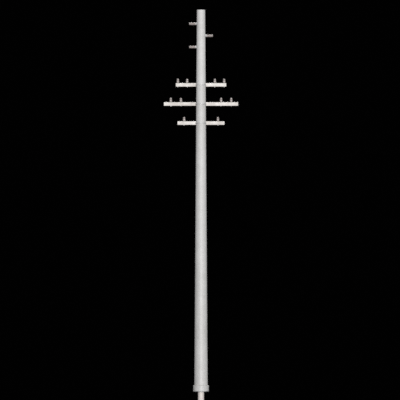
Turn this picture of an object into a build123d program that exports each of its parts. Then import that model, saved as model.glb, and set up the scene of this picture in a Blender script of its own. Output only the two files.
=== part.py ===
from build123d import *
from math import sqrt
import os

# Utility pole: tapered spun-concrete shaft, three box-section crossarms with
# pin insulators, three sideways post insulators, base collar and root tube.
# Millimetres. X runs along the crossarms, the crossarms are on the +Y side,
# Z is up. The origin is on the axis, at the underside of the base plate.

# ---------------------------------------------------------------- dimensions
shaft_top_z = 12200.0  # top of the cap
shaft_top_d = 267.0
taper = 75.0  # 1 mm of diameter in 75 mm of height
shaft_wall = 60.0

cap_t = 14.0
cap_plug_t = 60.0
cap_edge = 4.0

plate_t = 25.0
collar_d = 500.0
collar_h = 200.0  # with the plate
collar_chamfer = 12.0

root_d = 193.7
root_wall = 12.5
root_len = 400.0
root_end_t = 12.0
root_neck_d = 190.0  # turned neck that stands in the plate's hole
weld_prep = 8.0  # bevel round the plate's hole, filled by the weld

arm_h = 114.0
arm_w = 89.0
arm_wall = 5.0
arm_corner_r = 9.0
arm_cap_t = 3.0
arm_cap_plug = 20.0
# name: height of the arm's centreline, length, insulator places along X
arms = {
    "top": (9803.0, 1609.0, (-740.0, -443.0, 443.0, 740.0)),
    "middle": (9191.0, 2371.0, (-966.0, -643.0, 643.0, 966.0)),
    "bottom": (8581.0, 1500.0, (-541.0, 541.0)),
}

saddle_gap = 20.0  # between shaft and arm at the middle of the saddle
saddle_half_w = 88.0
saddle_tip = 7.0  # flat left at the saddle's outer tips, along Y
saddle_wall = 9.0  # round the two upright pockets
saddle_pocket_x = (34.0, 78.0)
ubolt_d = 16.0
ubolt_clear = 0.5
ubolt_hole_d = 18.0
ubolt_tail = 42.0  # beyond the arm's far face

pin_hole_d = 16.4
pin_d = 16.0
pin_flange_d = 48.0
pin_flange_t = 7.0
pin_tail = 21.0  # below the arm
pin_head_d = 25.4
insulator_bottom = 14.0
insulator_bore_d = 26.0
insulator_bore_top = 84.0

# name: side of the pole, height
side_posts = {
    "upper_left": (-1.0, 11751.0),
    "right": (1.0, 11370.0),
    "lower_left": (-1.0, 11008.0),
}
side_tip_x = 381.0  # from the pole's axis to the tip
side_base_d = 86.0
side_base_len = 30.0  # from the shaft's surface, on the level of the axis
side_base_round = 12.0  # round seat before the hexagon
side_hex_af = 84.0
side_socket_r = 37.5
side_socket_depth = 11.0
side_core_r = 35.5
side_shed_r = 46.0

os.makedirs("parts", exist_ok=True)


def shaft_r(z):
    """Outer radius of the shaft at a height."""
    return (shaft_top_d + (shaft_top_z - z) / taper) / 2.0


def save(shape, name):
    shape.label = name
    export_step(shape, f"parts/{name}.step")


def turned(points):
    """Solid of revolution about Z from points (radius, height)."""
    face = make_face(Polyline(*[(r, 0.0, z) for r, z in points], close=True))
    return revolve(face, Axis.Z, 360.0)


# --------------------------------------------------------------------- shaft
def build_shaft():
    z0, z1 = plate_t, shaft_top_z - cap_t
    return turned(
        [
            (shaft_r(z0) - shaft_wall, z0),
            (shaft_r(z0), z0),
            (shaft_r(z1), z1),
            (shaft_r(z1) - shaft_wall, z1),
        ]
    )


def build_cap():
    z1 = shaft_top_z
    z0 = z1 - cap_t
    r = shaft_r(z0)
    plug_r = shaft_r(z0) - shaft_wall - 0.5
    return turned(
        [
            (0.0, z0 - cap_plug_t),
            (plug_r, z0 - cap_plug_t),
            (plug_r, z0),
            (r, z0),
            (r, z1 - cap_edge),
            (r - cap_edge, z1),
            (0.0, z1),
        ]
    )


def build_collar():
    c = collar_d / 2.0
    return turned(
        [
            (shaft_r(plate_t), plate_t),
            (c, plate_t),
            (c, collar_h - collar_chamfer),
            (c - collar_chamfer, collar_h),
            (shaft_r(collar_h), collar_h),
        ]
    )


def build_base_plate():
    c, n = collar_d / 2.0, root_neck_d / 2.0
    return turned(
        [
            (n, weld_prep),
            (n + weld_prep, 0.0),
            (c, 0.0),
            (c, plate_t),
            (n, plate_t),
        ]
    )


def build_root_tube():
    r, n = root_d / 2.0, root_neck_d / 2.0
    return turned(
        [
            (r - root_wall, -root_len),
            (r, -root_len),
            (r, 0.0),
            (n, 0.0),
            (n, plate_t),
            (r - root_wall, plate_t),
        ]
    )


def build_root_end():
    r = root_d / 2.0 - root_wall
    return turned(
        [
            (0.0, -root_len),
            (r, -root_len),
            (r, -root_len + root_end_t),
            (0.0, -root_len + root_end_t),
        ]
    )


# ----------------------------------------------------------------- crossarms
def box_between(x0, x1, y0, y1, z0, z1):
    return Pos((x0 + x1) / 2, (y0 + y1) / 2, (z0 + z1) / 2) * Box(
        x1 - x0, y1 - y0, z1 - z0
    )


def arm_near_y(z):
    """The arm's near face."""
    return shaft_r(z) + saddle_gap


def ubolt_x(z):
    """Distance of a U-bolt leg's centreline from the pole's axis."""
    return shaft_r(z - ubolt_d) + ubolt_d / 2.0 + ubolt_clear


def rounded_bar(x0, x1, yc, zc, w, h, r):
    section = Plane(origin=(x0, yc, zc), x_dir=(0, 1, 0), z_dir=(1, 0, 0)) * (
        RectangleRounded(w, h, r)
    )
    return extrude(section, amount=x1 - x0)


def build_arm(z, length, places):
    yc = arm_near_y(z) + arm_w / 2.0
    half = length / 2.0 - arm_cap_t
    arm = rounded_bar(-half, half, yc, z, arm_w, arm_h, arm_corner_r)
    arm -= rounded_bar(
        -half,
        half,
        yc,
        z,
        arm_w - 2 * arm_wall,
        arm_h - 2 * arm_wall,
        arm_corner_r - arm_wall,
    )
    for x in places:
        arm -= Pos(x, yc, z) * Cylinder(pin_hole_d / 2.0, arm_h + 20.0)
    for s in (-1.0, 1.0):
        arm -= (
            Pos(s * ubolt_x(z), yc, z)
            * Rot(90, 0, 0)
            * Cylinder(ubolt_hole_d / 2.0, arm_w + 20.0)
        )
    return arm


def build_arm_caps(z, length):
    yc = arm_near_y(z) + arm_w / 2.0
    half = length / 2.0
    caps = []
    for s in (-1.0, 1.0):
        x_out, x_face = s * half, s * (half - arm_cap_t)
        x_in = s * (half - arm_cap_t - arm_cap_plug)
        outer = rounded_bar(
            min(x_out, x_face),
            max(x_out, x_face),
            yc,
            z,
            arm_w,
            arm_h,
            arm_corner_r,
        )
        plug = rounded_bar(
            min(x_face, x_in),
            max(x_face, x_in),
            yc,
            z,
            arm_w - 2 * arm_wall - 0.6,
            arm_h - 2 * arm_wall - 0.6,
            arm_corner_r - arm_wall - 0.3,
        )
        caps.append(outer + plug)
    return Compound(children=caps)


def shaft_cutter(z, reach, proud=0.0):
    """Solid length of the shaft, thicker by proud, to cut seats with."""
    z0, z1 = z - reach, z + reach
    return turned(
        [
            (0.0, z0),
            (shaft_r(z0) + proud, z0),
            (shaft_r(z1) + proud, z1),
            (0.0, z1),
        ]
    )


def build_saddle(z):
    """Cast seat between the shaft's back and the arm, with two upright pockets."""
    y1 = arm_near_y(z)
    y0 = sqrt(shaft_r(z) ** 2 - saddle_half_w**2) - saddle_tip
    z0, z1 = z - arm_h / 2.0, z + arm_h / 2.0
    w = saddle_half_w
    outline = Polyline(
        (-w, y1 - 4.0, z0),
        (-w, y0 + 3.0, z0),
        (-w + 3.0, y0, z0),
        (w - 3.0, y0, z0),
        (w, y0 + 3.0, z0),
        (w, y1 - 4.0, z0),
        (w - 4.0, y1, z0),
        (-w + 4.0, y1, z0),
        close=True,
    )
    saddle = extrude(make_face(outline), amount=z1 - z0, dir=(0, 0, 1))
    saddle -= shaft_cutter(z, arm_h)
    for s in (-1.0, 1.0):
        a, b = sorted((s * saddle_pocket_x[0], s * saddle_pocket_x[1]))
        pocket = box_between(a, b, 0.0, y1 - saddle_wall, z0 - 5.0, z1 + 5.0)
        saddle -= pocket - shaft_cutter(z, arm_h, saddle_wall)
    return saddle


def build_ubolt(z):
    x = ubolt_x(z)
    y_end = arm_near_y(z) + arm_w + ubolt_tail
    path = Wire(
        [
            Edge.make_line((x, y_end, z), (x, 0, z)),
            Edge.make_three_point_arc((x, 0, z), (0, -x, z), (-x, 0, z)),
            Edge.make_line((-x, 0, z), (-x, y_end, z)),
        ]
    )
    start = Plane(origin=(x, y_end, z), z_dir=(0, -1, 0))
    return sweep(start * Circle(ubolt_d / 2.0), path=path)


# ------------------------------------------------------------ pin insulators
def build_pin(x, z):
    """Steel pin: threaded tail below the arm, flange on it, stem and head above."""
    top = arm_h / 2.0
    yc = arm_near_y(z) + arm_w / 2.0
    r = pin_d / 2.0
    body = turned(
        [
            (0.0, -top - pin_tail),
            (r - 1.5, -top - pin_tail),
            (r, -top - pin_tail + 1.5),
            (r, top),
            (pin_flange_d / 2.0, top),
            (pin_flange_d / 2.0, top + pin_flange_t - 3.0),
            (r + 4.0, top + pin_flange_t),
            (r, top + pin_flange_t + 4.0),
            (r, top + 32.0),
            (pin_head_d / 2.0, top + 40.0),
            (pin_head_d / 2.0, top + insulator_bore_top - 3.0),
            (pin_head_d / 2.0 - 3.0, top + insulator_bore_top - 0.5),
            (0.0, top + insulator_bore_top - 0.5),
        ]
    )
    return Pos(x, yc, z) * body


def insulator_profile():
    """Half section of a pin insulator, heights above the arm's top face."""
    b = insulator_bottom
    bore = insulator_bore_d / 2.0
    return [
        (bore, b + 15.0),
        (29.0, b + 7.0),
        (35.5, b),
        (39.0, b + 1.5),
        (40.0, b + 6.0),
        (39.2, b + 46.0),
        (37.0, b + 54.0),
        (31.5, b + 59.5),
        (30.5, b + 62.5),
        (32.5, b + 66.0),
        (36.0, b + 69.0),
        (37.0, b + 73.0),
        (36.0, b + 77.0),
        (30.0, b + 82.5),
        (28.0, b + 88.0),
        (30.0, b + 93.5),
        (34.5, b + 97.0),
        (36.0, b + 101.5),
        (35.0, b + 108.0),
        (30.5, b + 115.0),
        (21.0, b + 120.0),
        (9.0, b + 122.0),
        (0.0, b + 122.0),
        (0.0, insulator_bore_top),
        (bore, insulator_bore_top),
    ]


def build_insulator(x, z):
    yc = arm_near_y(z) + arm_w / 2.0
    return Pos(x, yc, z + arm_h / 2.0) * turned(insulator_profile())


# ----------------------------------------------------- sideways post insulators
def along_x(side, z, shape):
    """Turns a shape made along +Z so that it points sideways from the axis."""
    return Pos(0, 0, z) * Rot(0, 90.0 * side, 0) * shape


def side_profile(x0):
    """Half section of a post insulator; its root stands in the base's socket."""
    core, shed = side_core_r, side_shed_r
    root = x0 - side_socket_depth
    pts = [(0.0, root), (core, root)]
    n, first, pitch = 5, x0 + 13.0, 29.0
    for k in range(n):
        s = first + k * pitch
        pts += [
            (core, s),
            (shed - 2.0, s + 4.0),
            (shed, s + 6.5),
            (shed - 1.5, s + 9.5),
            (core + 3.5, s + 15.5),
            (core, s + 19.0),
        ]
    neck = first + n * pitch
    tip = side_tip_x
    pts += [
        (core, neck),
        (38.5, neck + 4.0),
        (39.5, neck + 8.0),
        (38.0, neck + 12.0),
        (31.0, neck + 16.5),
        (29.5, neck + 22.0),
        (31.0, neck + 27.5),
        (38.0, neck + 32.0),
        (39.5, neck + 36.0),
        (38.5, tip - 9.0),
        (31.0, tip - 2.5),
        (18.0, tip),
        (0.0, tip),
    ]
    return pts


def side_face_x(z):
    return shaft_r(z) + side_base_len


def build_side_insulator(side, z):
    return along_x(side, z, turned(side_profile(side_face_x(z))))


def build_side_base(side, z):
    """Round seat on the shaft, then a hexagon with the insulator's socket."""
    x1 = side_face_x(z)
    x_hex = shaft_r(z) + side_base_round
    x0 = sqrt(shaft_r(z) ** 2 - (side_base_d / 2.0) ** 2) - 8.0
    r = side_base_d / 2.0
    base = turned(
        [
            (0.0, x0),
            (r, x0),
            (r, x_hex - 3.0),
            (r - 3.0, x_hex),
            (0.0, x_hex),
        ]
    )
    hexagon = RegularPolygon(side_hex_af / 2.0, 6, major_radius=False)
    base += Pos(0, 0, x_hex) * extrude(hexagon, amount=x1 - x_hex)
    base -= Pos(0, 0, x1) * Cylinder(side_socket_r, 2 * side_socket_depth)
    return along_x(side, z, base) - shaft_cutter(z, 200.0)


# ---------------------------------------------------------------------- write
save(build_shaft(), "pole_shaft")
save(build_cap(), "pole_cap")
save(build_collar(), "base_collar")
save(build_base_plate(), "base_plate")
save(build_root_tube(), "root_tube")
save(build_root_end(), "root_end_plate")

for arm_name, (arm_z, arm_len, arm_places) in arms.items():
    save(build_arm(arm_z, arm_len, arm_places), f"{arm_name}_crossarm")
    save(build_arm_caps(arm_z, arm_len), f"{arm_name}_arm_end_caps")
    save(build_saddle(arm_z), f"{arm_name}_arm_saddle")
    save(build_ubolt(arm_z), f"{arm_name}_arm_u_bolt")
    for i, px in enumerate(arm_places, 1):
        save(build_pin(px, arm_z), f"{arm_name}_pin_{i}")
        save(build_insulator(px, arm_z), f"{arm_name}_insulator_{i}")

for post_name, (post_side, post_z) in side_posts.items():
    save(build_side_insulator(post_side, post_z), f"{post_name}_side_insulator")
    save(build_side_base(post_side, post_z), f"{post_name}_side_base")
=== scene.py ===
import bpy
import bmesh
import math
import random
from mathutils import Matrix, Vector, noise


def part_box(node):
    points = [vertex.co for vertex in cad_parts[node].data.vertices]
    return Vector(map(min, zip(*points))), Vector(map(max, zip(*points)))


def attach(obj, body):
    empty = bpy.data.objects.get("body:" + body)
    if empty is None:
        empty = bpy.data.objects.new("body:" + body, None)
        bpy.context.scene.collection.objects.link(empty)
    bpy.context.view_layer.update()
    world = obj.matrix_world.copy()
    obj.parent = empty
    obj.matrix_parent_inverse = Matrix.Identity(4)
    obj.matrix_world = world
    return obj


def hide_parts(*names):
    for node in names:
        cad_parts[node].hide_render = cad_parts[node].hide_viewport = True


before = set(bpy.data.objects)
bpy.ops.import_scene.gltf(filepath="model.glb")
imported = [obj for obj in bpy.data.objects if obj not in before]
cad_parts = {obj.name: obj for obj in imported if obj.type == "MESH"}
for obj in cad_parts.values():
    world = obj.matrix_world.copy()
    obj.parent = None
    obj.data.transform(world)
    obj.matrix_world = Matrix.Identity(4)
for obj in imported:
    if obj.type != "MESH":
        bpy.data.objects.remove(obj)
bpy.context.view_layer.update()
random.seed(7)

# ------------------------------------------------------------------- sizes, m
TOP_Z = 12.2
TOP_D = 0.267
TAPER = 75.0
WALL = 0.06
CAP_T = 0.014
PLATE_T = 0.025
COLLAR_R = 0.25
COLLAR_H = 0.2
ROOT_R = 0.09685
ROOT_WALL = 0.0125
ROOT_LEN = 0.4
ARM_WALL = 0.005
ARMS = {"top": 4, "middle": 4, "bottom": 2}
SIDES = {"upper_left": -1.0, "right": 1.0, "lower_left": -1.0}
UBOLT_R = 0.008


def shaft_r(z):
    return (TOP_D + (TOP_Z - z) / TAPER) / 2.0


# ------------------------------------------------------------- mesh utilities
def fractal(p, scale, octaves=4):
    return noise.fractal(Vector(p) * scale, 1.0, 2.0, octaves)


def soften(points, radius=0.0, steps=4, closed=False):
    """Rounds the corners of a half section. A point may carry its own radius."""
    out, n = [], len(points)
    for i, p in enumerate(points):
        f = p[2] if len(p) > 2 else radius
        b = Vector(p[:2])
        if (not closed and i in (0, n - 1)) or f <= 0:
            out.append((b.x, b.y))
            continue
        u = Vector(points[i - 1][:2]) - b
        v = Vector(points[(i + 1) % n][:2]) - b
        lu, lv = u.length, v.length
        if lu < 1e-9 or lv < 1e-9:
            continue
        angle = u.angle(v)
        if angle > math.pi - 0.02:
            out.append((b.x, b.y))
            continue
        t = min(f / math.tan(angle / 2), 0.49 * lu, 0.49 * lv)
        a, c = b + u / lu * t, b + v / lv * t
        for k in range(steps + 1):
            s = k / steps
            q = a * (1 - s) ** 2 + b * (2 * s * (1 - s)) + c * s * s
            out.append((q.x, q.y))
    return out


def bridge(rings, closed=False):
    """Vertices and faces that join rings of points; a ring of one point closes an end."""
    verts, faces, start = [], [], []
    for ring in rings:
        start.append(len(verts))
        verts += [tuple(p) for p in ring]
    pairs = list(zip(range(len(rings)), range(1, len(rings))))
    if closed:
        pairs.append((len(rings) - 1, 0))
    for a, b in pairs:
        ra, rb, sa, sb = rings[a], rings[b], start[a], start[b]
        n = max(len(ra), len(rb))
        for j in range(n):
            k = (j + 1) % n
            if len(ra) == 1 and len(rb) == 1:
                break
            if len(ra) == 1:
                faces.append((sa, sb + k, sb + j))
            elif len(rb) == 1:
                faces.append((sa + j, sa + k, sb))
            else:
                faces.append((sa + j, sa + k, sb + k, sb + j))
    return verts, faces


def join(*parts):
    verts, faces = [], []
    for v, f in parts:
        n = len(verts)
        verts += v
        faces += [tuple(i + n for i in q) for q in f]
    return verts, faces


def placed(part, matrix):
    verts, faces = part
    return [tuple(matrix @ Vector(p)) for p in verts], faces


def lathe(profile, segs, closed=False, wobble=None):
    """Turned shape about Z. wobble(r, z, angle) gives a new (r, z)."""
    rings = []
    for r, z in profile:
        if r < 1e-7 and not closed:
            rings.append([(0.0, 0.0, z)])
            continue
        ring = []
        for j in range(segs):
            t = 2 * math.pi * j / segs
            rr, zz = wobble(r, z, t) if wobble else (r, z)
            ring.append((rr * math.cos(t), rr * math.sin(t), zz))
        rings.append(ring)
    return bridge(rings, closed)


def piece(name, part, material, replaces=(), sharp=38.0):
    verts, faces = part
    me = bpy.data.meshes.new(name)
    me.from_pydata(verts, [], faces)
    bm = bmesh.new()
    bm.from_mesh(me)
    bmesh.ops.remove_doubles(bm, verts=bm.verts, dist=1e-7)
    bmesh.ops.recalc_face_normals(bm, faces=bm.faces)
    bm.to_mesh(me)
    bm.free()
    me.shade_smooth()
    me.set_sharp_from_angle(angle=math.radians(sharp))
    ob = bpy.data.objects.new(name, me)
    bpy.context.scene.collection.objects.link(ob)
    me.materials.append(material)
    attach(ob, "root")
    if replaces:
        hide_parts(*([replaces] if isinstance(replaces, str) else replaces))
    return ob


# ------------------------------------------------------------------ materials
class Nodes:
    """A material's node tree, built one node at a time."""

    def __init__(self, name):
        self.mat = bpy.data.materials.new(name)
        self.mat.use_nodes = True
        self.tree = self.mat.node_tree
        self.tree.nodes.clear()
        self.out = self.tree.nodes.new("ShaderNodeOutputMaterial")
        self.bsdf = self.tree.nodes.new("ShaderNodeBsdfPrincipled")
        self.tree.links.new(self.bsdf.outputs[0], self.out.inputs[0])
        self.coords = self.tree.nodes.new("ShaderNodeTexCoord").outputs["Object"]

    def put(self, socket, value):
        if isinstance(value, bpy.types.NodeSocket):
            self.tree.links.new(value, socket)
        else:
            socket.default_value = value

    def stretched(self, scale):
        n = self.tree.nodes.new("ShaderNodeMapping")
        self.put(n.inputs["Vector"], self.coords)
        n.inputs["Scale"].default_value = scale
        return n.outputs[0]

    def noise(self, scale, detail=4.0, rough=0.55, vector=None, distortion=0.0):
        n = self.tree.nodes.new("ShaderNodeTexNoise")
        self.put(n.inputs["Vector"], vector or self.coords)
        n.inputs["Scale"].default_value = scale
        n.inputs["Detail"].default_value = detail
        n.inputs["Roughness"].default_value = rough
        n.inputs["Distortion"].default_value = distortion
        return n.outputs["Fac"]

    def cells(self, scale, output="Distance", feature="F1", vector=None, random=1.0):
        n = self.tree.nodes.new("ShaderNodeTexVoronoi")
        n.feature = feature
        self.put(n.inputs["Vector"], vector or self.coords)
        n.inputs["Scale"].default_value = scale
        n.inputs["Randomness"].default_value = random
        return n.outputs[output]

    def span(self, value, low, high, to_low=0.0, to_high=1.0, smooth=False):
        n = self.tree.nodes.new("ShaderNodeMapRange")
        n.interpolation_type = "SMOOTHSTEP" if smooth else "LINEAR"
        n.clamp = True
        self.put(n.inputs["Value"], value)
        n.inputs["From Min"].default_value = low
        n.inputs["From Max"].default_value = high
        n.inputs["To Min"].default_value = to_low
        n.inputs["To Max"].default_value = to_high
        return n.outputs[0]

    def math(self, op, a, b=0.0):
        n = self.tree.nodes.new("ShaderNodeMath")
        n.operation = op
        self.put(n.inputs[0], a)
        self.put(n.inputs[1], b)
        return n.outputs[0]

    def weighted(self, *terms):
        """Sum of sockets, each times its weight."""
        total = 0.0
        for socket, weight in terms:
            n = self.tree.nodes.new("ShaderNodeMath")
            n.operation = "MULTIPLY_ADD"
            self.put(n.inputs[0], socket)
            n.inputs[1].default_value = weight
            self.put(n.inputs[2], total)
            total = n.outputs[0]
        return total

    def ramp(self, value, *stops):
        n = self.tree.nodes.new("ShaderNodeValToRGB")
        self.put(n.inputs[0], value)
        e = n.color_ramp.elements
        while len(e) < len(stops):
            e.new(0.5)
        for k, (at, colour) in enumerate(stops):
            e[k].position = at
            e[k].color = (*colour, 1.0)
        return n.outputs[0]

    def mix(self, factor, a, b, blend="MIX"):
        n = self.tree.nodes.new("ShaderNodeMix")
        n.data_type = "RGBA"
        n.blend_type = blend
        self.put(n.inputs[0], factor)
        self.put(n.inputs[6], a if isinstance(a, bpy.types.NodeSocket) else (*a, 1.0))
        self.put(n.inputs[7], b if isinstance(b, bpy.types.NodeSocket) else (*b, 1.0))
        return n.outputs[2]

    def bump(self, height, distance, strength=1.0, normal=None):
        n = self.tree.nodes.new("ShaderNodeBump")
        n.inputs["Strength"].default_value = strength
        n.inputs["Distance"].default_value = distance
        self.put(n.inputs["Height"], height)
        if normal is not None:
            self.put(n.inputs["Normal"], normal)
        return n.outputs[0]

    def facing_up(self):
        g = self.tree.nodes.new("ShaderNodeNewGeometry")
        s = self.tree.nodes.new("ShaderNodeSeparateXYZ")
        self.put(s.inputs[0], g.outputs["Normal"])
        return s.outputs["Z"]

    def edges(self, low, high):
        g = self.tree.nodes.new("ShaderNodeNewGeometry")
        return self.span(g.outputs["Pointiness"], low, high, smooth=True)

    def set(self, **sockets):
        for name, value in sockets.items():
            self.put(self.bsdf.inputs[name.replace("_", " ")], value)
        return self.mat


def concrete(name, tone=1.0, streak=1.0, pits=1.0, warm=0.0, stains=(), paler_towards_top=0.0):
    """Spun or cast concrete: cloudy patches, faint rain streaks, sand, pinholes and
    blowholes. stains gives the heights of fittings that have left a wash below them;
    paler_towards_top makes the skin that much paler and duller from 2 m up to 11 m."""
    m = Nodes(name)
    clouds = m.noise(0.8, 4.0, 0.5)
    patch = m.noise(3.6, 5.0, 0.58, distortion=0.7)
    mottle = m.noise(13.0, 6.0, 0.62, distortion=0.4)
    fine = m.noise(62.0, 5.0, 0.65)
    grain = m.noise(420.0, 3.0, 0.65)
    streaks = m.noise(1.0, 5.0, 0.6, vector=m.stretched((24.0, 24.0, 0.5)))
    thin = m.noise(1.0, 4.0, 0.6, vector=m.stretched((95.0, 95.0, 1.6)))
    bands = m.noise(1.0, 3.0, 0.5, vector=m.stretched((0.6, 0.6, 11.0)))
    sum_ = m.weighted((clouds, 0.3), (patch, 0.34), (mottle, 0.22), (fine, 0.14))

    def shade(r, g, b):
        return (r * tone + warm, g * tone * 0.993, b * tone - warm)

    colour = m.ramp(
        m.span(sum_, 0.36, 0.64),
        (0.0, shade(0.49, 0.485, 0.472)),
        (0.3, shade(0.565, 0.562, 0.553)),
        (0.62, shade(0.63, 0.629, 0.623)),
        (1.0, shade(0.7, 0.7, 0.696)),
    )
    dark = shade(0.42, 0.412, 0.395)
    light = shade(0.72, 0.72, 0.716)
    colour = m.mix(m.span(streaks, 0.54, 0.8, 0.0, 0.34 * streak), colour, dark)
    colour = m.mix(m.span(streaks, 0.42, 0.26, 0.0, 0.22 * streak), colour, light)
    colour = m.mix(m.span(thin, 0.56, 0.78, 0.0, 0.2 * streak), colour, dark)
    colour = m.mix(m.span(bands, 0.5, 0.75, 0.0, 0.14), colour, light)
    height = m.tree.nodes.new("ShaderNodeSeparateXYZ")
    m.put(height.inputs[0], m.coords)
    # Paler and duller towards the top of the shaft, from 2 m up to 11 m.
    if paler_towards_top:
        colour = m.mix(m.span(height.outputs["Z"], 2.0, 11.0, 0.0, paler_towards_top), colour, (0.9, 0.9, 0.9))
    if stains:
        wash = None
        for z, reach in stains:
            below = m.math(
                "MULTIPLY",
                m.span(height.outputs["Z"], z - reach, z - 0.01, 0.0, 1.0, smooth=True),
                m.span(height.outputs["Z"], z - 0.004, z + 0.004, 1.0, 0.0),
            )
            wash = below if wash is None else m.math("MAXIMUM", wash, below)
        runs = m.noise(1.0, 4.0, 0.55, vector=m.stretched((48.0, 48.0, 0.35)))
        wash = m.math("MULTIPLY", wash, m.span(runs, 0.48, 0.72, 0.0, 0.42))
        colour = m.mix(wash, colour, (0.36, 0.33, 0.29))
    # Sand showing in the skin: a few dark and pale grains.
    spot = m.tree.nodes.new("ShaderNodeTexVoronoi")
    m.put(spot.inputs["Vector"], m.coords)
    spot.inputs["Scale"].default_value = 330.0
    kind = m.tree.nodes.new("ShaderNodeSeparateColor")
    m.put(kind.inputs[0], spot.outputs["Color"])
    near = m.span(spot.outputs["Distance"], 0.3, 0.42, 1.0, 0.0)
    black = m.math("MULTIPLY", near, m.span(kind.outputs[0], 0.88, 0.92, 0.0, 0.5))
    white = m.math("MULTIPLY", near, m.span(kind.outputs[1], 0.86, 0.9, 0.0, 0.4))
    colour = m.mix(black, colour, (0.2, 0.19, 0.18))
    colour = m.mix(white, colour, (0.82, 0.81, 0.79))
    colour = m.mix(m.span(grain, 0.36, 0.66, 0.16, 0.0), colour, (0.3, 0.29, 0.28))
    holes = m.cells(78.0)
    which = m.noise(27.0, 1.0, 0.5)
    pit = m.math(
        "MULTIPLY",
        m.span(holes, 0.06, 0.15, 1.0, 0.0, smooth=True),
        m.span(which, 0.56, 0.6, 0.0, 1.0),
    )
    small = m.cells(210.0)
    pit2 = m.math(
        "MULTIPLY",
        m.span(small, 0.06, 0.16, 1.0, 0.0, smooth=True),
        m.span(mottle, 0.51, 0.56, 0.0, 1.0),
    )
    large = m.cells(19.0)
    pit3 = m.math(
        "MULTIPLY",
        m.span(large, 0.035, 0.06, 1.0, 0.0, smooth=True),
        m.span(m.noise(6.0, 1.0, 0.5), 0.54, 0.58, 0.0, 1.0),
    )
    # Pinholes and blowholes are darkened in colour: painted shade inside the holes. The bump below gives their dip.
    colour = m.mix(m.math("MULTIPLY", pit, 0.6 * pits), colour, (0.15, 0.145, 0.14))
    colour = m.mix(m.math("MULTIPLY", pit2, 0.42 * pits), colour, (0.19, 0.185, 0.18))
    colour = m.mix(m.math("MULTIPLY", pit3, 0.7 * pits), colour, (0.12, 0.115, 0.11))
    up = m.span(m.facing_up(), 0.55, 0.95, 0.0, 0.4)
    lichen = m.span(m.noise(38.0, 6.0, 0.75), 0.45, 0.62, 0.35, 1.0)
    colour = m.mix(m.math("MULTIPLY", up, lichen), colour, (0.33, 0.32, 0.285))
    n1 = m.bump(m.weighted((grain, 0.6), (near, 0.25), (fine, 1.1)), 0.0011, 0.75)
    hollows = m.weighted((pit, -1.0), (pit2, -0.5), (pit3, -1.6))
    n2 = m.bump(hollows, 0.0024 * pits, 0.95, normal=n1)
    n3 = m.bump(m.weighted((mottle, 1.0), (thin, 0.5)), 0.0016, 0.6, normal=n2)
    rough = m.span(m.weighted((mottle, 0.5), (fine, 0.5)), 0.36, 0.64, 0.38, 0.56)
    if paler_towards_top:
        rough = m.math("ADD", rough, m.span(height.outputs["Z"], 2.0, 11.0, 0.0, paler_towards_top * 0.4))
    return m.set(Base_Color=colour, Roughness=rough, Normal=n3)


def paint(name, tone, worn=1.0):
    """Pale enamel on steel: light orange peel, a little grime, and small chips."""
    m = Nodes(name)
    grime = m.noise(3.2, 6.0, 0.62, distortion=0.5)
    speck = m.noise(46.0, 5.0, 0.7)
    streaks = m.noise(1.0, 4.0, 0.6, vector=m.stretched((60.0, 60.0, 5.0)))
    peel = m.noise(700.0, 2.0, 0.5)
    shade = tuple(c * k for c, k in zip(tone, (0.87, 0.855, 0.83)))
    dirt = tuple(c * k for c, k in zip(tone, (0.62, 0.585, 0.54)))
    colour = m.mix(m.span(grime, 0.36, 0.7), tone, shade)
    colour = m.mix(m.span(streaks, 0.56, 0.8, 0.0, 0.22), colour, dirt)
    colour = m.mix(m.span(speck, 0.6, 0.78, 0.0, 0.3), colour, dirt)
    up = m.math(
        "MULTIPLY", m.span(m.facing_up(), 0.5, 0.95), m.span(speck, 0.3, 0.65, 0.15, 0.5)
    )
    colour = m.mix(up, colour, (0.4, 0.375, 0.34))
    where = m.math(
        "MULTIPLY",
        m.span(m.noise(150.0, 5.0, 0.75), 0.69, 0.71),
        m.span(m.noise(9.0, 2.0, 0.5), 0.56, 0.62),
    )
    chip = m.math("MULTIPLY", where, worn)
    colour = m.mix(chip, colour, (0.33, 0.31, 0.3))
    n1 = m.bump(peel, 0.00012, 0.6)
    n2 = m.bump(m.math("MULTIPLY", chip, -1.0), 0.0004, 0.8, normal=n1)
    return m.set(
        Base_Color=colour,
        Roughness=m.math("ADD", m.span(grime, 0.3, 0.7, 0.34, 0.5), m.math("MULTIPLY", chip, 0.25)),
        Metallic=m.math("MULTIPLY", chip, 0.7),
        Normal=n2,
    )


def galvanised(name, tone=1.0, rough=0.0):
    """Hot-dip zinc: spangle cells of slightly different grey, dull patches, drip grain."""
    m = Nodes(name)
    cell = m.tree.nodes.new("ShaderNodeSeparateColor")
    m.put(cell.inputs[0], m.cells(120.0, "Color"))
    spangle = cell.outputs[0]
    cloud = m.noise(17.0, 5.0, 0.6)
    fine = m.noise(520.0, 3.0, 0.6)
    bright = tuple(c * tone for c in (0.63, 0.64, 0.65))
    dull = tuple(c * tone for c in (0.43, 0.435, 0.44))
    colour = m.mix(m.span(spangle, 0.0, 1.0), dull, bright)
    colour = m.mix(m.span(cloud, 0.45, 0.75, 0.0, 0.55), colour, (0.5 * tone, 0.49 * tone, 0.475 * tone))
    colour = m.mix(m.span(fine, 0.62, 0.75, 0.0, 0.3), colour, (0.28, 0.26, 0.24))
    r1 = m.span(spangle, 0.0, 1.0, 0.36 + rough, 0.5 + rough)
    r2 = m.math("ADD", r1, m.span(cloud, 0.45, 0.75, 0.0, 0.16))
    n1 = m.bump(cloud, 0.0005, 0.5)
    n2 = m.bump(fine, 0.00012, 0.6, normal=n1)
    mat = m.set(Base_Color=colour, Roughness=r2, Normal=n2)
    m.bsdf.inputs["Metallic"].default_value = 0.85
    return mat


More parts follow.
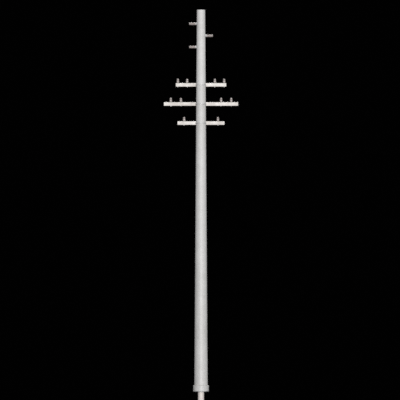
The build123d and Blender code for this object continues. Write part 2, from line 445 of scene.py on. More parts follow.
def porcelain(name):
    """Warm grey glaze over fired clay: thin and lighter on rims, pooled in hollows."""
    m = Nodes(name)
    flow = m.noise(34.0, 4.0, 0.55)
    speck = m.cells(640.0)
    dust = m.noise(90.0, 5.0, 0.65)
    colour = m.mix(m.span(flow, 0.35, 0.7), (0.345, 0.303, 0.289), (0.405, 0.357, 0.341))
    colour = m.mix(m.edges(0.52, 0.6), colour, (0.44, 0.396, 0.38))
    colour = m.mix(m.edges(0.48, 0.42), colour, (0.27, 0.228, 0.216))
    colour = m.mix(m.span(speck, 0.05, 0.12, 0.35, 0.0), colour, (0.2, 0.17, 0.15))
    up = m.math("MULTIPLY", m.span(m.facing_up(), 0.35, 0.95), m.span(dust, 0.35, 0.7, 0.1, 0.55))
    colour = m.mix(up, colour, (0.4, 0.375, 0.345))
    rough = m.math("ADD", m.span(flow, 0.3, 0.7, 0.27, 0.38), m.math("MULTIPLY", up, 0.5))
    mat = m.set(Base_Color=colour, Roughness=rough, Normal=m.bump(flow, 0.0004, 0.35))
    m.bsdf.inputs["Coat Weight"].default_value = 0.15
    m.bsdf.inputs["Coat Roughness"].default_value = 0.2
    return mat


def bare_clay(name):
    m = Nodes(name)
    a = m.noise(160.0, 5.0, 0.7)
    b = m.noise(1200.0, 2.0, 0.6)
    colour = m.mix(m.span(a, 0.3, 0.7), (0.55, 0.51, 0.46), (0.66, 0.63, 0.59))
    return m.set(
        Base_Color=colour,
        Roughness=m.span(b, 0.3, 0.7, 0.8, 0.95),
        Normal=m.bump(b, 0.0003, 0.8),
    )


def cement(name, low=(0.34, 0.33, 0.31), high=(0.5, 0.49, 0.46)):
    m = Nodes(name)
    a = m.noise(60.0, 6.0, 0.7)
    b = m.cells(500.0)
    colour = m.mix(m.span(a, 0.3, 0.7), low, high)
    return m.set(
        Base_Color=colour,
        Roughness=m.span(a, 0.3, 0.7, 0.82, 0.97),
        Normal=m.bump(m.math("ADD", a, b), 0.0008, 0.8),
    )


def plastic(name):
    """Moulded end cap, chalked by the sun."""
    m = Nodes(name)
    a = m.noise(24.0, 5.0, 0.6)
    b = m.noise(900.0, 2.0, 0.5)
    colour = m.mix(m.span(a, 0.3, 0.7), (0.7, 0.675, 0.64), (0.8, 0.78, 0.75))
    colour = m.mix(m.edges(0.52, 0.6), colour, (0.86, 0.85, 0.83))
    return m.set(
        Base_Color=colour,
        Roughness=m.span(a, 0.3, 0.7, 0.5, 0.72),
        Normal=m.bump(b, 0.0001, 0.6),
    )


def weld_metal(name):
    m = Nodes(name)
    a = m.noise(130.0, 4.0, 0.6)
    b = m.noise(14.0, 3.0, 0.6)
    colour = m.mix(m.span(a, 0.3, 0.7), (0.42, 0.41, 0.4), (0.62, 0.61, 0.6))
    colour = m.mix(m.span(b, 0.52, 0.75, 0.0, 0.6), colour, (0.3, 0.2, 0.13))
    mat = m.set(
        Base_Color=colour,
        Roughness=m.span(a, 0.3, 0.7, 0.42, 0.66),
        Normal=m.bump(a, 0.0004, 0.7),
    )
    m.bsdf.inputs["Metallic"].default_value = 0.6
    return mat


MAT_SHAFT = concrete(
    "spun_concrete",
    tone=1.0,
    stains=((9.803, 0.34), (9.191, 0.3), (8.581, 0.55), (11.751, 0.22), (11.37, 0.3), (11.008, 0.26)),
    paler_towards_top=0.27,
)
MAT_COLLAR = concrete("cast_concrete", tone=0.95, streak=0.5, pits=1.3, warm=-0.001)
MAT_MORTAR = cement("mortar", (0.5, 0.49, 0.475), (0.66, 0.65, 0.635))
MAT_PAINT = paint("arm_paint", tone=(0.6, 0.566, 0.538))
MAT_ROOT = paint("root_paint", tone=(0.745, 0.7, 0.68), worn=1.0)
MAT_ZINC = galvanised("zinc")
MAT_ZINC_CAST = galvanised("zinc_on_casting", tone=0.92, rough=0.1)
MAT_ZINC_DULL = galvanised("weathered_zinc", tone=0.66, rough=0.16)
MAT_GLAZE = porcelain("grey_glaze")
MAT_CLAY = bare_clay("unglazed_rim")
MAT_CEMENT = cement("cement_joint")
MAT_PLASTIC = plastic("end_cap_plastic")
MAT_WELD = weld_metal("weld_metal")


def use(node, material):
    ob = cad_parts[node]
    ob.data.materials.clear()
    ob.data.materials.append(material)
    return ob


# ---------------------------------------------------------------- camera
# One photo pixel is 31.95 mm at the pole; the pole's axis is at x 201.02 and
# ground level at y 391.6 in the 400 x 400 picture.
PIXEL = 0.03195
FAR = 250.0
cam_data = bpy.data.cameras.new("camera")
cam = bpy.data.objects.new("camera", cam_data)
bpy.context.scene.collection.objects.link(cam)
cam_data.sensor_width = 36.0
cam_data.lens = 36.0 * FAR / (400 * PIXEL)
cam_data.clip_start = 1.0
cam_data.clip_end = 1200.0
cam.location = ((200.0 - 201.02) * PIXEL, -FAR, (391.6 - 200.0) * PIXEL)
cam.rotation_euler = (math.radians(90.0), 0.0, 0.0)
bpy.context.scene.camera = cam

# ---------------------------------------------------------------- shaft
z0, z1 = PLATE_T, TOP_Z - CAP_T
MOULD_RINGS = (3.06, 6.1, 9.14)  # where the mould's lengths met


def ring_bulge(z):
    return sum(0.0009 * math.exp(-(((z - q) / 0.004) ** 2)) for q in MOULD_RINGS)


def shaft_wobble(r, z, t):
    if r < shaft_r(z) - 0.01:
        return r, z
    p = (math.cos(t) * r * 2.0, math.sin(t) * r * 2.0, z * 0.5)
    slow = 0.0006 * fractal(p, 1.0, 3)
    fast = 0.00025 * noise.noise(Vector((p[0] * 18, p[1] * 18, z * 9.0)))
    return r + slow + fast + ring_bulge(z) - 0.0006, z


levels = [z0 + 0.0301 * k for k in range(int((z1 - z0) / 0.0301) + 1)]
for q in MOULD_RINGS:
    levels = [v for v in levels if abs(v - q) > 0.016]
    levels += [q + d for d in (-0.014, -0.008, -0.005, -0.0025, 0.0, 0.0025, 0.005, 0.008, 0.014)]
levels = sorted(v for v in levels if z0 + 0.012 < v < z1 - 0.012)
outer = [(shaft_r(z0), z0)] + [(shaft_r(v), v) for v in levels] + [(shaft_r(z1), z1)]
inner = [(shaft_r(z1) - WALL, z1), (shaft_r(z0) - WALL, z0)]
piece(
    "shaft_surface",
    lathe(outer + inner, 128, closed=True, wobble=shaft_wobble),
    MAT_SHAFT,
    replaces="pole_shaft",
)

# Seams: thin fins that the two mould halves left, ground off beside fittings.
ubolt_zs = [sum(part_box(f"{a}_arm_u_bolt")[k].z for k in (0, 1)) / 2 for a in ARMS]


def mould_seam(name, angle, seed):
    rng = random.Random(seed)
    parts, rings, z = [], [], COLLAR_H + 0.02

    def flush():
        nonlocal rings
        if len(rings) > 3:
            first, last = rings[0], rings[-1]
            mid = lambda ring: [tuple(sum(c) / len(ring) for c in zip(*ring))]
            parts.append(bridge([mid(first)] + rings + [mid(last)]))
        rings = []

    keep = True
    while z < TOP_Z - 0.05:
        if any(abs(z - u) < 0.03 for u in ubolt_zs):
            flush()
            z += 0.012
            continue
        if rng.random() < (0.012 if keep else 0.12):
            keep = not keep
            flush()
        if keep:
            r = shaft_r(z) - 0.0012
            h = 0.0012 + 0.0016 * (0.55 + 0.45 * noise.noise(Vector((seed, 0.0, z * 6.0))))
            w = 0.0022 + 0.0008 * noise.noise(Vector((seed + 4.0, 1.0, z * 11.0)))
            drift = 0.0012 * noise.noise(Vector((seed + 9.0, 2.0, z * 1.3)))
            n = Vector((math.cos(angle), math.sin(angle), 0.0))
            s = Vector((-math.sin(angle), math.cos(angle), 0.0))
            base = Vector((0, 0, z)) + s * drift
            rings.append(
                [
                    tuple(base + n * r + s * w),
                    tuple(base + n * (r + h * 0.75) + s * w * 0.55),
                    tuple(base + n * (r + h) + s * w * 0.05),
                    tuple(base + n * (r + h * 0.7) - s * w * 0.5),
                    tuple(base + n * r - s * w),
                ]
            )
        z += 0.012
    flush()
    return piece(name, join(*parts), MAT_SHAFT, sharp=60)


mould_seam("mould_seam_right", math.radians(-38.0), 3)
mould_seam("mould_seam_left", math.radians(142.0), 5)

# ---------------------------------------------------------------- cap
r_cap = shaft_r(z1)


def cap_wobble(r, z, t):
    edge = max(0.0, 1.0 - abs(r - r_cap) / 0.012) if z > z1 else 0.0
    d = 0.0012 * edge * fractal((math.cos(t) * 3, math.sin(t) * 3, z * 40), 3.0, 3)
    rise = 0.0022 * (1 - (r / r_cap) ** 2) if z > TOP_Z - 0.002 and r < r_cap else 0.0
    return r + min(0.0, d) - 0.0004 * edge, z + rise * 0.5


piece(
    "cap_top",
    lathe(
        [(0.0, z1 - 0.06), (r_cap - WALL - 0.0005, z1 - 0.06), (r_cap - WALL - 0.0005, z1)]
        + [(r_cap - 0.0012, z1), (r_cap - 0.0012, z1 + 0.0012)]
        + soften(
            [
                (r_cap, z1 + 0.0024),
                (r_cap, TOP_Z - 0.004, 0.003),
                (r_cap - 0.004, TOP_Z, 0.003),
                (r_cap - 0.03, TOP_Z),
            ]
        )
        + [(r_cap * k, TOP_Z) for k in (0.7, 0.6, 0.5, 0.4, 0.3, 0.2, 0.1)]
        + [(0.0, TOP_Z + 0.0011)],
        128,
        wobble=cap_wobble,
    ),
    MAT_COLLAR,
    replaces="pole_cap",
)

# ---------------------------------------------------------------- collar
def chipped(r, z, t):
    """Small bites out of the collar's arrises and a slightly uneven cast face."""
    if r < COLLAR_R - 0.02:
        return r, z
    p = (math.cos(t) * COLLAR_R, math.sin(t) * COLLAR_R, z)
    d = 0.0005 * fractal(p, 6.0, 4)
    edge = max(
        math.exp(-(((z - COLLAR_H + 0.006) / 0.012) ** 2)),
        0.8 * math.exp(-(((z - PLATE_T) / 0.008) ** 2)),
    )
    bite = max(0.0, noise.noise(Vector(p) * 21.0) - 0.27) * 0.028
    bite += max(0.0, noise.noise(Vector(p) * 60.0 + Vector((5, 2, 9))) - 0.3) * 0.01
    return r + d - 0.0006 - edge * bite, z - (0.35 * bite if z > COLLAR_H - 0.02 else 0.0)


c = COLLAR_R
collar_profile = [(shaft_r(PLATE_T), PLATE_T)]
collar_profile += soften(
    [
        (shaft_r(PLATE_T) + 0.01, PLATE_T),
        (c - 0.002, PLATE_T, 0.0),
        (c, PLATE_T + 0.002, 0.0),
        (c, PLATE_T + 0.012),
    ]
)
collar_profile += [(c, PLATE_T + 0.02 + 0.006 * k) for k in range(22)]
collar_profile += soften(
    [
        (c, COLLAR_H - 0.02),
        (c, COLLAR_H - 0.012, 0.006),
        (c - 0.012, COLLAR_H, 0.006),
        (c - 0.02, COLLAR_H),
    ],
    steps=5,
)
collar_profile += [(shaft_r(COLLAR_H), COLLAR_H)]
piece(
    "collar_surface",
    lathe(collar_profile, 360, closed=True, wobble=chipped),
    MAT_COLLAR,
    replaces="base_collar",
)


def haunch_wobble(r, z, t):
    p = Vector((math.cos(t), math.sin(t), z * 8)) * 5.0
    k = 0.0022 * fractal(tuple(p), 1.0, 4)
    out = (r - shaft_r(z)) / 0.012
    return r + k * min(1.0, max(0.0, out)), z + 0.4 * k * (1 if z > COLLAR_H + 0.001 else 0)


sr = shaft_r(COLLAR_H)
piece(
    "mortar_haunch",
    lathe(
        [
            (sr - 0.004, COLLAR_H - 0.002),
            (sr + 0.016, COLLAR_H - 0.002),
            (sr + 0.0155, COLLAR_H + 0.0012),
            (sr + 0.011, COLLAR_H + 0.0038),
            (sr + 0.0065, COLLAR_H + 0.0075),
            (sr + 0.0032, COLLAR_H + 0.0125),
            (sr + 0.0008, COLLAR_H + 0.018),
            (sr - 0.004, COLLAR_H + 0.019),
        ],
        220,
        closed=True,
        wobble=haunch_wobble,
    ),
    MAT_MORTAR,
    sharp=70,
)

# ------------------------------------------------------- base plate and root
NECK = 0.095
piece(
    "plate_disc",
    lathe(
        soften(
            [
                (NECK, 0.008, 0.0),
                (NECK + 0.008, 0.0, 0.0008),
                (COLLAR_R, 0.0, 0.0016),
                (COLLAR_R, PLATE_T, 0.0016),
                (NECK, PLATE_T, 0.0),
            ],
            closed=True,
            steps=3,
        ),
        192,
        closed=True,
    ),
    MAT_ZINC_DULL,
    replaces="base_plate",
)
piece(
    "root_pipe",
    lathe(
        soften(
            [
                (ROOT_R - ROOT_WALL, -ROOT_LEN, 0.001),
                (ROOT_R, -ROOT_LEN, 0.0015),
                (ROOT_R, 0.0, 0.0),
                (NECK, 0.0, 0.0),
                (NECK, PLATE_T, 0.0005),
                (ROOT_R - ROOT_WALL, PLATE_T, 0.0005),
            ],
            closed=True,
            steps=3,
        ),
        160,
        closed=True,
    ),
    MAT_ROOT,
    replaces="root_tube",
)
piece(
    "root_end_disc",
    lathe(
        soften(
            [
                (0.0, -ROOT_LEN + 0.0005),
                (ROOT_R - ROOT_WALL, -ROOT_LEN + 0.0005, 0.0012),
                (ROOT_R - ROOT_WALL, -ROOT_LEN + 0.012, 0.0006),
                (0.0, -ROOT_LEN + 0.012),
            ],
            steps=3,
        ),
        128,
    ),
    MAT_ROOT,
    replaces="root_end_plate",
)


def bead(radius, z, size, ripples, seed, flat=0.8):
    """A weld bead round a tube: a ring whose section swells and shrinks in ripples."""
    segs, around = ripples * 4, 10
    rings = []
    for j in range(segs):
        t = 2 * math.pi * j / segs
        k = size * (
            1.0
            + 0.09 * math.cos(ripples * t)
            + 0.12 * noise.noise(Vector((math.cos(t) * 6, math.sin(t) * 6, seed)))
        )
        lag = 0.35 * (2 * math.pi / segs)
        ring = []
        for i in range(around):
            a = 2 * math.pi * i / around
            rr = radius + k * math.cos(a)
            tt = t + lag * math.sin(a)
            ring.append((rr * math.cos(tt), rr * math.sin(tt), z + flat * k * math.sin(a)))
        rings.append(ring)
    return bridge(rings, closed=True)


piece("root_weld", bead(ROOT_R + 0.0032, -0.0012, 0.0062, 150, 2.0), MAT_WELD, sharp=70)
piece("root_end_weld", bead(ROOT_R - ROOT_WALL, -ROOT_LEN + 0.0012, 0.0034, 120, 6.0), MAT_WELD, sharp=70)

# ------------------------------------------------------------ hardware shapes
def hex_nut(af, height, bore, segs=48):
    """Hexagon nut on Z from 0 to height, corners chamfered both ends."""
    flat = af / 2 * 0.965

    def hex_r(t):
        k = (t + math.pi / 6) % (math.pi / 3) - math.pi / 6
        return af / 2 / math.cos(k)

    angles = [2 * math.pi * j / segs for j in range(segs)]
    put = lambda r, z, t: (r * math.cos(t), r * math.sin(t), z)
    drop = [(hex_r(t) - flat) * math.tan(math.radians(30)) for t in angles]
    rings = [
        [put(bore, 0.0012, t) for t in angles],
        [put(bore + 0.0012, 0.0, t) for t in angles],
        [put(flat, 0.0, t) for t in angles],
        [put(hex_r(t), drop[j], t) for j, t in enumerate(angles)],
        [put(hex_r(t), height - drop[j], t) for j, t in enumerate(angles)],
        [put(flat, height, t) for t in angles],
        [put(bore + 0.0012, height, t) for t in angles],
        [put(bore, height - 0.0012, t) for t in angles],
    ]
    return bridge(rings, closed=True)


def plate_washer(side, thick, bore, corner=0.005):
    """Square washer on Z from 0 to thick, with a round hole and rounded corners."""
    h = side / 2
    outline = []
    for cx, cy, a0 in ((1, 1, 0), (-1, 1, 90), (-1, -1, 180), (1, -1, 270)):
        for k in range(5):
            a = math.radians(a0 + 90 * k / 4)
            outline.append(
                (cx * (h - corner) + corner * math.cos(a), cy * (h - corner) + corner * math.sin(a))
            )
    dense = []
    for i, p in enumerate(outline):
        q = outline[(i + 1) % len(outline)]
        gap = math.dist(p, q)
        n = max(1, round(gap / 0.005))
        dense += [(p[0] + (q[0] - p[0]) * k / n, p[1] + (q[1] - p[1]) * k / n) for k in range(n)]
    at = [math.atan2(y, x) for x, y in dense]
    e = 0.0007
    shrink = lambda x, y, d: (x * (1 - d / max(abs(x), abs(y))), y * (1 - d / max(abs(x), abs(y))))
    rings = [
        [(bore * math.cos(a), bore * math.sin(a), e) for a in at],
        [((bore + e) * math.cos(a), (bore + e) * math.sin(a), 0.0) for a in at],
        [(*shrink(x, y, e), 0.0) for x, y in dense],
        [(x, y, e) for x, y in dense],
        [(x, y, thick - e) for x, y in dense],
        [(*shrink(x, y, e), thick) for x, y in dense],
        [((bore + e) * math.cos(a), (bore + e) * math.sin(a), thick) for a in at],
        [(bore * math.cos(a), bore * math.sin(a), thick - e) for a in at],
    ]
    return bridge(rings, closed=True)


def spring_washer(r_in, width, thick, segs=56):
    """Split ring with a small step where its ends meet."""
    rings = []
    for j in range(segs + 1):
        u = j / segs
        t = math.radians(6 + 348 * u)
        z = 0.0006 * (u - 0.5)
        section = [
            (r_in, 0.0003),
            (r_in + 0.0003, 0.0),
            (r_in + width - 0.0003, 0.0),
            (r_in + width, 0.0003),
            (r_in + width, thick - 0.0003),
            (r_in + width - 0.0003, thick),
            (r_in + 0.0003, thick),
            (r_in, thick - 0.0003),
        ]
        rings.append([(r * math.cos(t), r * math.sin(t), z + h) for r, h in section])
    mid = lambda ring: [tuple(sum(c) / len(ring) for c in zip(*ring))]
    return bridge([mid(rings[0])] + rings + [mid(rings[-1])])


def thread(s, t, r, pitch, depth):
    """Radius of a rolled thread at length s along a rod and angle t round it."""
    k = (s / pitch - t / (2 * math.pi)) % 1.0
    v = abs(2 * k - 1)
    return r - depth * min(1.0, max(0.0, (v - 0.1) / 0.78))


def facing(point, direction):
    """Matrix that stands a shape made on +Z at point, pointing along direction."""
    q = Vector((0, 0, 1)).rotation_difference(Vector(direction))
    return Matrix.Translation(Vector(point)) @ q.to_matrix().to_4x4()


# ------------------------------------------------------------ crossarms
def u_bolt_mesh(xr, y_end, y_thread, z):
    """Round rod round the shaft's front, both ends threaded for their nuts."""
    pitch, depth, n = 0.002, 0.0011, 28
    path = []  # centre, outward normal, is threaded, length along
    cut = [y_end - 0.00033 * k for k in range(int((y_end - y_thread) / 0.00033) + 1)]
    s = 0.0
    for y in cut:
        path.append(((xr, y, z), (1, 0, 0), True, y_end - y))
    for y in [y_thread - 0.002, y_thread * 0.66, y_thread * 0.33, 0.0]:
        path.append(((xr, y, z), (1, 0, 0), False, y_end - y))
    for k in range(1, 60):
        a = -math.pi * k / 60
        c, sn = math.cos(a), math.sin(a)
        path.append(((xr * c, xr * sn, z), (c, sn, 0), False, y_end + xr * -a))
    for y in [0.0, y_thread * 0.33, y_thread * 0.66, y_thread - 0.002]:
        path.append(((-xr, y, z), (-1, 0, 0), False, y_end + math.pi * xr + y))
    for y in reversed(cut):
        path.append(((-xr, y, z), (-1, 0, 0), True, y_end + math.pi * xr + y))
    total = path[-1][3]
    rings = []
    for centre, normal, threaded, s in path:
        ring = []
        end = min(s, total - s)
        for j in range(n):
            t = 2 * math.pi * j / n
            r = thread(s, t, UBOLT_R, pitch, depth) if threaded else UBOLT_R
            r = min(r, UBOLT_R - 0.0016 + end)
            v = Vector(centre) + Vector(normal) * (r * math.cos(t)) + Vector((0, 0, r * math.sin(t)))
            ring.append(tuple(v))
        rings.append(ring)
    first, last = path[0][0], path[-1][0]
    return bridge([[first]] + rings + [[last]])


def pin_mesh(z_arm_top, z_arm_low, z_tail, z_head):
    """Insulator pin on Z: threaded tail, forged flange, stem, head for the bore."""
    r, pitch, depth, n = 0.008, 0.002, 0.0012, 40
    rows = []
    z = z_tail
    while z < z_arm_low + 0.004:
        rows.append((z, "thread"))
        z += pitch / 6
    rows += [(z_arm_low + 0.005, r), (z_arm_top - 0.001, r), (z_arm_top, r)]
    t = z_arm_top
    flange = soften(
        [
            (r, t + 0.0002),
            (0.0235, t + 0.0002, 0.001),
            (0.024, t + 0.0022, 0.002),
            (0.0225, t + 0.005, 0.003),
            (0.0125, t + 0.0076, 0.005),
            (0.0084, t + 0.0115, 0.005),
            (r, t + 0.02),
        ],
        steps=3,
    )
    rows += [(h, q) for q, h in flange]
    rows += [(t + 0.032, r), (t + 0.04, 0.0127)]
    top = [(z_head - 0.003, 0.0127), (z_head - 0.0005, 0.0097)]
    rings = []
    for h, q in rows + top:
        ring = []
        for j in range(n):
            a = 2 * math.pi * j / n
            rr = thread(h, a, r, pitch, depth) if q == "thread" else q
            if q == "thread":
                rr = min(rr, r - 0.0018 + (h - z_tail))
            ring.append((rr * math.cos(a), rr * math.sin(a), h))
        rings.append(ring)
    return bridge([[(0, 0, z_tail)]] + rings + [[(0, 0, z_head - 0.0005)]])


def insulator_section():
    """Half section above the arm's top face: bell skirt, waist, groove, crown."""
    b = 0.014
    pts = [
        (0.013, b + 0.0165, 0.0),
        (0.024, b + 0.0125, 0.008),
        (0.0325, b + 0.006, 0.006),
        (0.0352, b + 0.0, 0.0015),
        (0.0392, b + 0.0008, 0.002),
        (0.04, b + 0.008, 0.02),
        (0.0392, b + 0.046, 0.03),
        (0.0375, b + 0.056, 0.008),
        (0.0308, b + 0.062, 0.004),
        (0.0315, b + 0.0662, 0.003),
        (0.0368, b + 0.0698, 0.003),
        (0.0372, b + 0.0765, 0.004),
        (0.0286, b + 0.083, 0.007),
        (0.028, b + 0.088, 0.008),
        (0.0286, b + 0.093, 0.007),
        (0.0357, b + 0.098, 0.004),
        (0.036, b + 0.107, 0.007),
        (0.0298, b + 0.117, 0.009),
        (0.015, b + 0.1218, 0.02),
        (0.0, b + 0.122, 0.0),
    ]
    return soften(pts, steps=5)


def insulator_faces(ob, z_rim, material):
    """The sanded firing rim under the skirt is bare clay."""
    ob.data.materials.append(material)
    for p in ob.data.polygons:
        if p.center.z < z_rim:
            p.material_index = 1


NUT_X = 0.0
for arm, count in ARMS.items():
    lo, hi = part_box(f"{arm}_crossarm")
    yc, zc = (lo.y + hi.y) / 2, (lo.z + hi.z) / 2
    y_far, z_top, z_low = hi.y, hi.z, lo.z
    use(f"{arm}_crossarm", MAT_PAINT)
    use(f"{arm}_arm_end_caps", MAT_PLASTIC)
    use(f"{arm}_arm_saddle", MAT_ZINC_CAST)

    blo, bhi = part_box(f"{arm}_arm_u_bolt")
    xr = (bhi.x - blo.x) / 2 - UBOLT_R
    piece(
        f"{arm}_u_bolt_rod",
        u_bolt_mesh(xr, bhi.y, y_far - 0.004, zc),
        MAT_ZINC,
        replaces=f"{arm}_arm_u_bolt",
        sharp=50,
    )
    washers, nuts = [], []
    for s in (-1, 1):
        at = Vector((s * xr, y_far, zc))
        turn = Matrix.Rotation(math.radians(random.uniform(-4, 4)), 4, "Z")
        washers.append(placed(plate_washer(0.05, 0.005, 0.009), facing(at, (0, 1, 0)) @ turn))
        spin = Matrix.Rotation(random.uniform(0, 6.28), 4, "Z")
        washers.append(
            placed(spring_washer(0.0084, 0.0045, 0.0038), facing(at + Vector((0, 0.0053, 0)), (0, 1, 0)) @ spin)
        )
        spin = Matrix.Rotation(random.uniform(0, 6.28), 4, "Z")
        nuts.append(placed(hex_nut(0.024, 0.0135, 0.0074), facing(at + Vector((0, 0.0094, 0)), (0, 1, 0)) @ spin))
    piece(f"{arm}_u_bolt_washers", join(*washers), MAT_ZINC, sharp=26)
    piece(f"{arm}_u_bolt_nuts", join(*nuts), MAT_ZINC, sharp=26)

    washers, nuts, joints = [], [], []
    for i in range(1, count + 1):
        plo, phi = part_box(f"{arm}_pin_{i}")
        x = (plo.x + phi.x) / 2
        at = Matrix.Translation(Vector((x, yc, 0.0)))
        piece(
            f"{arm}_pin_steel_{i}",
            placed(pin_mesh(z_top, z_low, plo.z, phi.z), at @ Matrix.Rotation(random.uniform(0, 6.28), 4, "Z")),
            MAT_ZINC,
            replaces=f"{arm}_pin_{i}",
            sharp=50,
        )
        ob = piece(
            f"{arm}_insulator_body_{i}",
            placed(
                lathe(
                    [(0.0, 0.0835), (0.013, 0.0835)] + insulator_section(), 96
                ),
                Matrix.Translation(Vector((x, yc, z_top))),
            ),
            MAT_GLAZE,
            replaces=f"{arm}_insulator_{i}",
            sharp=55,
        )
        insulator_faces(ob, z_top + 0.0148, MAT_CLAY)
        under = Vector((x, yc, z_low))
        turn = Matrix.Rotation(math.radians(random.uniform(-5, 5)), 4, "Z")
        washers.append(placed(plate_washer(0.045, 0.004, 0.009), facing(under, (0, 0, -1)) @ turn))
        spin = Matrix.Rotation(random.uniform(0, 6.28), 4, "Z")
        nuts.append(placed(hex_nut(0.024, 0.013, 0.0074), facing(under - Vector((0, 0, 0.0042)), (0, 0, -1)) @ spin))
        joints.append(
            placed(
                lathe(
                    soften(
                        [
                            (0.0078, 0.0262, 0.0),
                            (0.0115, 0.0272, 0.001),
                            (0.0148, 0.029, 0.001),
                            (0.0142, 0.0325, 0.0),
                            (0.0078, 0.0325, 0.0),
                        ],
                        closed=True,
                    ),
                    48,
                    closed=True,
                ),
                Matrix.Translation(Vector((x, yc, z_top))),
            )
        )
    piece(f"{arm}_pin_washers", join(*washers), MAT_ZINC, sharp=26)
    piece(f"{arm}_pin_nuts", join(*nuts), MAT_ZINC, sharp=26)
    piece(f"{arm}_insulator_cement", join(*joints), MAT_CEMENT)

# ------------------------------------------------------------ side insulators
def side_section(root, tip):
    """Half section of a post insulator from its root in the socket to its tip."""
    x0 = root + 0.011
    core, shed = 0.0355, 0.046
    pts = [
        (0.0, root, 0.0),
        (core, root, 0.001),
        (core, x0 + 0.005, 0.0),
    ]
    first, pitch = x0 + 0.013, 0.029
    for k in range(5):
        s = first + k * pitch
        pts += [
            (core, s - 0.0005, 0.002),
            (shed - 0.003, s + 0.0035, 0.003),
            (shed, s + 0.0063, 0.0022),
            (shed - 0.0012, s + 0.0092, 0.0025),
            (core + 0.003, s + 0.015, 0.008),
            (core, s + 0.0205, 0.006),
        ]
    neck = first + 5 * pitch
    pts += [
        (core, neck, 0.003),
        (0.0388, neck + 0.0045, 0.003),
        (0.0393, neck + 0.0085, 0.003),
        (0.0378, neck + 0.0125, 0.003),
        (0.0308, neck + 0.0172, 0.005),
        (0.0295, neck + 0.022, 0.006),
        (0.0308, neck + 0.0268, 0.005),
        (0.0378, neck + 0.0322, 0.003),
        (0.0395, neck + 0.0365, 0.004),
        (0.0383, tip - 0.009, 0.006),
        (0.0305, tip - 0.002, 0.009),
        (0.017, tip, 0.01),
        (0.0, tip, 0.0),
    ]
    return soften(pts, steps=5)


for name, side in SIDES.items():
    lo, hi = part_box(f"{name}_side_insulator")
    z = (lo.z + hi.z) / 2
    root, tip = (lo.x, hi.x) if side > 0 else (-hi.x, -lo.x)
    stand = facing((0, 0, z), (side, 0, 0))
    piece(
        f"{name}_side_insulator_body",
        placed(lathe(side_section(root, tip), 96), stand),
        MAT_GLAZE,
        replaces=f"{name}_side_insulator",
        sharp=55,
    )
    use(f"{name}_side_base", MAT_ZINC_DULL)
    x1 = root + 0.011
    piece(
        f"{name}_side_cement",
        placed(
            lathe(
                soften(
                    [
                        (0.035, x1 - 0.006, 0.0),
                        (0.0377, x1 - 0.006, 0.0),
                        (0.0377, x1 - 0.0004, 0.0006),
                        (0.0367, x1 + 0.0008, 0.001),
                        (0.035, x1 + 0.002, 0.0),
                    ],
                    closed=True,
                ),
                72,
                closed=True,
            ),
            stand,
        ),
        MAT_CEMENT,
        sharp=60,
    )

# ---------------------------------------------------------------- floor
floor_nodes = Nodes("studio_floor")
tone = floor_nodes.noise(0.35, 3.0, 0.5)
pale = floor_nodes.mix(floor_nodes.span(tone, 0.3, 0.7), (0.6, 0.591, 0.578), (0.65, 0.64, 0.626))
seen = floor_nodes.tree.nodes.new("ShaderNodeLightPath").outputs["Is Camera Ray"]
floor_mat = floor_nodes.set(
    # Pale to look at, but it throws little light up onto the pole's foot.
    Base_Color=floor_nodes.mix(seen, (0.15, 0.15, 0.15), pale),
    Roughness=floor_nodes.span(tone, 0.3, 0.7, 0.75, 0.85),
    Specular_IOR_Level=0.15,
)
half = 3.9
fz = -ROOT_LEN - 0.0022
me = bpy.data.meshes.new("studio_floor")
v, f = lathe([(0.0, fz), (half * 0.5, fz), (half, fz), (half + 0.01, fz - 0.01), (half + 0.01, fz - 0.04), (0.0, fz - 0.04)], 128)
me.from_pydata(v, [], f)
me.materials.append(floor_mat)
floor = bpy.data.objects.new("studio_floor", me)
bpy.context.scene.collection.objects.link(floor)
bm = bmesh.new()
bm.from_mesh(me)
bmesh.ops.recalc_face_normals(bm, faces=bm.faces)
bm.to_mesh(me)
bm.free()

# ---------------------------------------------------------------- light
def sun(name, direction, strength, angle, colour=(1, 1, 1)):
    data = bpy.data.lights.new(name, "SUN")
    data.energy = strength
    data.angle = math.radians(angle)
    data.color = colour
    ob = bpy.data.objects.new(name, data)
    bpy.context.scene.collection.objects.link(ob)
    ob.rotation_euler = (-Vector(direction)).to_track_quat("Z", "Y").to_euler()
    return ob


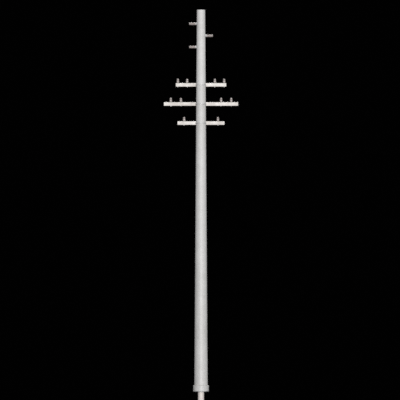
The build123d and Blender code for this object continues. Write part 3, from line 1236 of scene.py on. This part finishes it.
# Directions the light travels in.
sun("key", (-0.06, 1.0, -0.07), 2.66, 14.0, (1.0, 0.996, 0.99))
sun("right_front", (-1.0, 1.0, -0.15), 0.34, 30.0)
sun("left_fill", (1.0, 0.2, -0.2), 0.06, 60.0)
sun("back_light", (0.0, -1.0, -0.9), 2.0, 8.0)
sun("top_light", (0.0, 0.1, -1.0), 0.3, 80.0)

# The camera sees black, as in the photo. Surfaces are lit by a weak even grey, and
# glossy ones mirror a soft studio that is brighter overhead.
world = bpy.data.worlds.new("studio")
bpy.context.scene.world = world
world.use_nodes = True
wt = world.node_tree
wt.nodes.clear()
w_out = wt.nodes.new("ShaderNodeOutputWorld")
w_path = wt.nodes.new("ShaderNodeLightPath")


def backdrop(strength, colour=(1.0, 1.0, 1.0)):
    n = wt.nodes.new("ShaderNodeBackground")
    n.inputs[0].default_value = (*colour, 1.0)
    n.inputs[1].default_value = strength
    return n


w_dark = backdrop(0.0004)
w_soft = backdrop(0.072, (0.98, 0.99, 1.0))
w_shine = backdrop(1.0)
w_way = wt.nodes.new("ShaderNodeTexCoord")
w_axis = wt.nodes.new("ShaderNodeSeparateXYZ")
w_sky = wt.nodes.new("ShaderNodeMapRange")
w_sky.inputs["From Min"].default_value = -0.4
w_sky.inputs["From Max"].default_value = 0.9
w_sky.inputs["To Min"].default_value = 0.12
w_sky.inputs["To Max"].default_value = 0.75
wt.links.new(w_way.outputs["Generated"], w_axis.inputs[0])
wt.links.new(w_axis.outputs["Z"], w_sky.inputs["Value"])
wt.links.new(w_sky.outputs[0], w_shine.inputs[1])
w_gloss = wt.nodes.new("ShaderNodeMixShader")
w_seen = wt.nodes.new("ShaderNodeMixShader")
wt.links.new(w_path.outputs["Is Glossy Ray"], w_gloss.inputs[0])
wt.links.new(w_soft.outputs[0], w_gloss.inputs[1])
wt.links.new(w_shine.outputs[0], w_gloss.inputs[2])
wt.links.new(w_path.outputs["Is Camera Ray"], w_seen.inputs[0])
wt.links.new(w_gloss.outputs[0], w_seen.inputs[1])
wt.links.new(w_dark.outputs[0], w_seen.inputs[2])
wt.links.new(w_seen.outputs[0], w_out.inputs[0])

bpy.context.scene.view_settings.view_transform = "Standard"
bpy.context.scene.view_settings.look = "None"
